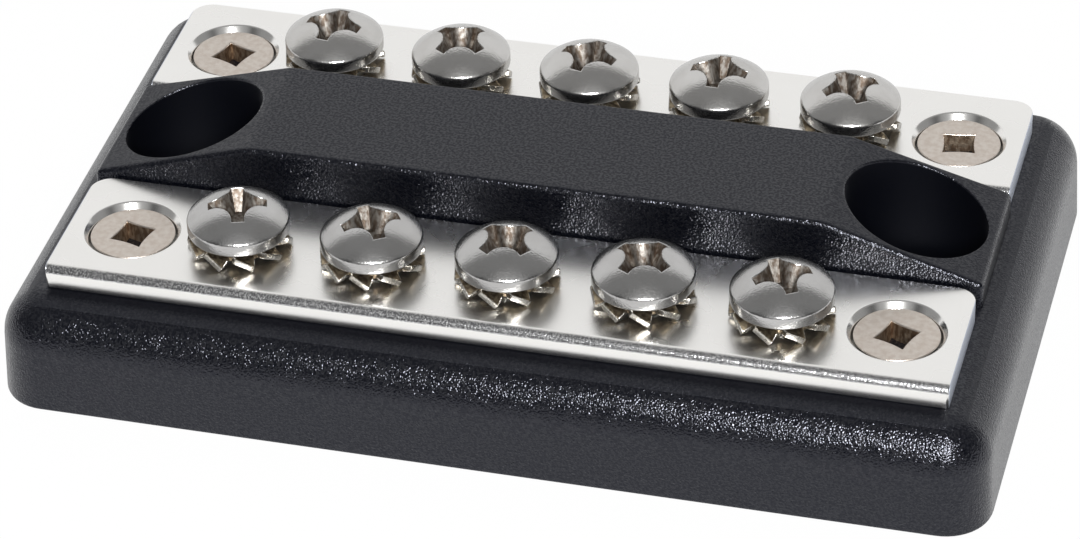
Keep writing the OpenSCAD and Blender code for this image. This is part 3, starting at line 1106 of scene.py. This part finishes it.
@dataclass
class TerminalScrews:
    """Pan head screws with cross recesses, one for each terminal."""

    head: float = 4.0 * MM
    head_steps: int = 96
    rim: float = 1.1 * MM
    rim_soft: float = 0.42 * MM
    rim_steps: int = 8
    dome: float = 1.6 * MM
    dome_steps: int = 28
    dome_gap: float = 1.5  # degrees
    under_soft: float = 0.25 * MM
    under_start: float = -75  # degrees
    under_steps: int = 5
    shank: float = 9.5 * MM
    tip: float = 0.5 * MM
    neck: float = 0.3 * MM
    core: float = 1.72 * MM
    thread: float = 2.05 * MM
    thread_half: float = 0.36  # share of the lead
    thread_sunk: float = 0.1 * MM
    thread_start: float = 0.7 * MM
    thread_steps: int = 24
    thread_turns: int = 10
    lead: float = 0.79375 * MM
    wing: float = 0.95 * MM
    span: float = 2.3 * MM
    web: float = 1.95 * MM
    web_steps: int = 10
    depth: float = 2.0 * MM
    proud: float = 0.3 * MM
    full_depth: float = 0.45 * MM
    floor_scale: float = 0.52
    join_angle: float = math.radians(1)
    lip: float = 0.06 * MM
    lip_steps: int = 2
    lip_spare: float = 0.2 * MM
    turns: dict[Row, tuple[float, ...]] = field(default_factory=lambda: {
        Row.FRONT: (18, 33, 54, 61, 31), Row.REAR: (-8, 58, -14, -2, 34)})

    @property
    def top(self) -> float:
        """Height of the dome above the seat."""
        return self.rim + self.dome

    @property
    def dome_radius(self) -> float:
        """Radius of the dome."""
        return (self.head ** 2 + self.dome ** 2) / (2 * self.dome)

    def build(self, materials: Mapping[Row, bpy.types.Material]) -> None:
        """Make the screws.

        Args:
            materials: The plated steel of each row: lit and shaded copies of one plating, painted darker at
                the front and lighter at the rear.
        """
        master = self._screw()
        for row in Row:
            for number, turn in enumerate(self.turns[row], 1):
                node = f"terminal_screw_{row.value}_{number}"
                low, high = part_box(node)
                spot = Matrix.Translation(((low.x + high.x) / 2, (low.y + high.y) / 2, low.z + self.shank))
                screw = master.copy().place(spot @ Matrix.Rotation(math.radians(turn), 4, "Z"))
                screw.piece(node, f"screw_{row.value}_{number}", "screw_steel", materials[row])

    def _screw(self) -> Stock:
        """Make one screw with the seat of its head at the origin.

        Returns:
            The screw.
        """
        screw = Stock.lathe(self._profile(), self.head_steps).combine(self._recess(), Cut.REMOVE)
        lip = screw.edges(Bend.EDGE, lambda point: point.z > self.rim and self._over_recess(point)
                          and abs(self._below_dome(point)) < TOLERANCE)
        screw.round(lip, self.lip, self.lip_steps, clamp=False)
        # The recess gets painted shade.
        screw.mark("recess", lambda point: point.z > self.rim / 2 and self._over_recess(point)
                   and self._below_dome(point) > ROUND_TOLERANCE)
        return screw.add(self._thread())

    def _over_recess(self, point: Vector) -> bool:
        """Say whether a point lies within the reach of the recess."""
        return point.xy.length < self.span + self.lip_spare

    def _below_dome(self, point: Vector) -> float:
        """Give the depth of a point below the dome."""
        middle = Vector((0.0, 0.0, self.top - self.dome_radius))
        return self.dome_radius - (point - middle).length

    def _profile(self) -> list[tuple[float, float]]:
        """Give the profile of the head and the core of the shank.

        Returns:
            Points of radius and height, from the tip to the top.
        """
        middle = self.top - self.dome_radius
        soft = self.head - self.rim_soft
        soft_z = middle + math.sqrt((self.dome_radius - self.rim_soft) ** 2 - soft ** 2)
        turn = math.degrees(math.atan2(soft_z - middle, soft))
        under = self.head - self.under_soft
        return [(0, -self.shank), (self.core - self.tip, -self.shank), (self.core, self.tip - self.shank),
                (self.core, -self.neck), (self.core + self.neck, 0), (under, 0),
                *arc((under, self.under_soft), self.under_soft, self.under_start, 0, self.under_steps),
                *arc((soft, soft_z), self.rim_soft, 0, turn, self.rim_steps),
                *arc((0, middle), self.dome_radius, turn + self.dome_gap, 90, self.dome_steps)]

    def _recess(self) -> Stock:
        """Make the cutter for the cross recess.

        Returns:
            The cutter.
        """
        floor = self.top - self.depth
        stations = (-self.span, -self.wing / 2, self.wing / 2, self.span)
        recess = Stock.grid(len(stations) - 1, len(stations) - 1)
        for vert in recess.bm.verts:
            vert.co = (station(vert.co.x, stations), station(vert.co.y, stations), floor)
        corners = [face for face in recess.bm.faces
                   if min(abs(axis) for axis in face.calc_center_median().xy) > self.wing / 2]
        bmesh.ops.delete(recess.bm, geom=corners, context="FACES")
        for vert in recess.extrude():
            vert.co.z = self.top + self.proud
        recess.face_out()
        bmesh.ops.dissolve_limit(recess.bm, angle_limit=self.join_angle, verts=recess.bm.verts,
                                 edges=recess.bm.edges)
        reach = self.wing / 2 + TOLERANCE
        inner = recess.edges(Bend.EDGE, lambda point: max(abs(point.x), abs(point.y)) < reach
                             and floor + ROUND_TOLERANCE < point.z < self.top)
        recess.round(inner, self.web - self.wing / 2, self.web_steps)
        level = self.top - self.full_depth
        for vert in recess.bm.verts:
            vert.co.xy *= 1 + (vert.co.z - level) * (1 - self.floor_scale) / (level - floor)
        return recess

    def _thread(self) -> Stock:
        """Make the ridge of the thread as a closed helix.

        Returns:
            The ridge.
        """
        ridge = Stock()
        half = self.thread_half * self.lead
        root = self.core - self.thread_sunk
        start = self.thread_start - self.shank
        corners = [(root, -half), (self.thread, 0.0), (root, half)]
        points = [ridge.bm.verts.new((radius, 0.0, start + rise)) for radius, rise in corners]
        face = ridge.bm.faces.new(points)
        bmesh.ops.spin(ridge.bm, geom=[*points, *face.edges, face], axis=(0, 0, 1), cent=(0, 0, 0),
                       dvec=(0, 0, self.lead / self.thread_steps), angle=self.thread_turns * math.tau,
                       steps=self.thread_turns * self.thread_steps)
        return ridge.face_out()


@dataclass
class LockWashers:
    """Toothed lock washers whose teeth twist out of the sheet."""

    bore: float = 2.1 * MM
    ring: float = 3.05 * MM
    ring_steps: int = 80
    reach: float = 4.03 * MM
    sheet: float = 0.48 * MM
    teeth: int = 10
    tooth: float = 1.72 * MM
    tooth_steps: int = 5
    root: float = 0.45 * MM
    twist: float = math.radians(38)
    wander: float = 0.25
    wander_stride: int = 3
    edge: float = 0.08 * MM
    edge_steps: int = 2
    turns: dict[Row, tuple[float, ...]] = field(default_factory=lambda: {
        Row.FRONT: (4, 19, 11, 27, 8), Row.REAR: (15, 6, 24, 10, 31)})

    @property
    def start(self) -> float:
        """Distance from the middle to the root of a tooth."""
        return self.bore + self.root

    def build(self, material: bpy.types.Material) -> None:
        """Make the washers.

        Args:
            material: The spring steel.
        """
        master = self._washer()
        for row in Row:
            for number, turn in enumerate(self.turns[row], 1):
                node = f"lock_washer_{row.value}_{number}"
                low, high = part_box(node)
                spot = Matrix.Translation((low + high) / 2)
                washer = master.copy().place(spot @ Matrix.Rotation(math.radians(turn), 4, "Z"))
                washer.piece(node, f"washer_{row.value}_{number}", "washer_steel", material)

    def _washer(self) -> Stock:
        """Make one washer about the origin, with teeth that twist unevenly.

        Returns:
            The washer.
        """
        half = self.sheet / 2
        profile = [(self.bore, -half), (self.ring, -half), (self.ring, half), (self.bore, half),
                   (self.bore, -half)]
        ring = Stock.lathe(profile, self.ring_steps)
        ring.round(ring.edges(Bend.EDGE, lambda point: True), self.edge, self.edge_steps)
        # The whole ring gets painted shade.
        ring.mark("recess", lambda point: True)
        for number in range(self.teeth):
            short = self.wander * (self.wander_stride * number % self.teeth) / self.teeth
            tooth = self._tooth(self.twist * (1 - short))
            ring.add(tooth.place(Matrix.Rotation(math.tau * number / self.teeth, 4, "Z")))
        return ring

    def _on_flat(self, point: Vector, twist: float) -> bool:
        """Say whether a point of the tooth along X lies on a face of the sheet, not on a sheared edge.

        Args:
            point: The point.
            twist: The tooth's twist.

        Returns:
            True on a face of the sheet.
        """
        share = (point.x - self.start) / (self.reach - self.start)
        flat = Matrix.Rotation(twist * share, 3, "X") @ point
        return abs(flat.y) < self.tooth / 2 - self.edge and point.x < self.reach - self.edge

    def _tooth(self, twist: float) -> Stock:
        """Make one tooth along X, which turns as it leaves the ring.

        Args:
            twist: How far it turns.

        Returns:
            The tooth.
        """
        tooth = Stock()
        wide, thick = self.tooth / 2, self.sheet / 2
        points = [tooth.bm.verts.new((self.start, y, z))
                  for y, z in ((-wide, -thick), (wide, -thick), (wide, thick), (-wide, thick))]
        ahead = ((self.reach - self.start) / self.tooth_steps, 0, 0)
        turn = Matrix.Rotation(-twist / self.tooth_steps, 3, "X")
        faces = [tooth.bm.faces.new(points)]
        for _ in range(self.tooth_steps):
            made = bmesh.ops.extrude_face_region(tooth.bm, geom=faces)["geom"]
            verts = [item for item in made if isinstance(item, bmesh.types.BMVert)]
            faces = [item for item in made if isinstance(item, bmesh.types.BMFace)]
            bmesh.ops.translate(tooth.bm, verts=verts, vec=ahead)
            bmesh.ops.rotate(tooth.bm, verts=verts, cent=(0, 0, 0), matrix=turn)
        tooth.face_out()
        tooth.round(tooth.edges(Bend.EDGE, lambda point: True), self.edge, self.edge_steps)
        # The faces of the tooth get painted shade; the sheared edges stay bright.
        return tooth.mark("recess", lambda point: self._on_flat(point, twist))


def main() -> None:
    """Build the scene."""
    logging.basicConfig(level=logging.INFO, format="%(name)s: %(message)s")
    Studio().build()
    plastic = MouldedPlastic().build()
    plate = BrightPlate().build()
    # Lit and shaded copies of one plating: the front row is painted darker and the rear row lighter, as
    # painted light and shade.
    front = TumbledSteel("front_screw_plate_painted_shade", colour=(0.535, 0.529, 0.522, 1.0),
                         shade=(0.48, 0.473, 0.463, 1.0), roughness=0.12)
    rear = TumbledSteel("rear_screw_plate_painted_light", colour=(0.63, 0.619, 0.602, 1.0),
                        shade=(0.575, 0.562, 0.542, 1.0), roughness=0.12)
    steel = {Row.FRONT: front.build(), Row.REAR: rear.build()}
    # The recess colours of the fixing screws are painted shade.
    fixing = TumbledSteel("fixing_plate", colour=(0.66, 0.60, 0.54, 1.0), shade=(0.58, 0.505, 0.44, 1.0),
                          roughness=0.30, mottle=0.5 * MM, recess=(0.46, 0.37, 0.28, 1.0),
                          deeper_shade=(0.22, 0.15, 0.10, 1.0)).build()
    # The recess colours of the washers are painted shade on the ring and on the faces of the teeth, where the
    # heads shade them.
    spring = TumbledSteel("spring_plate", colour=(0.66, 0.64, 0.60, 1.0), shade=(0.54, 0.50, 0.43, 1.0),
                          roughness=0.22, mottle=1.2 * MM, recess=(0.34, 0.285, 0.20, 1.0),
                          deeper_shade=(0.13, 0.10, 0.07, 1.0)).build()
    MouldedBase().build(plastic)
    for row in Row:
        PlatedBar(row).build(plate)
    FixingScrews().build(fixing)
    LockWashers().build(spring)
    TerminalScrews().build(steel)


if __name__ == "__main__":
    main()
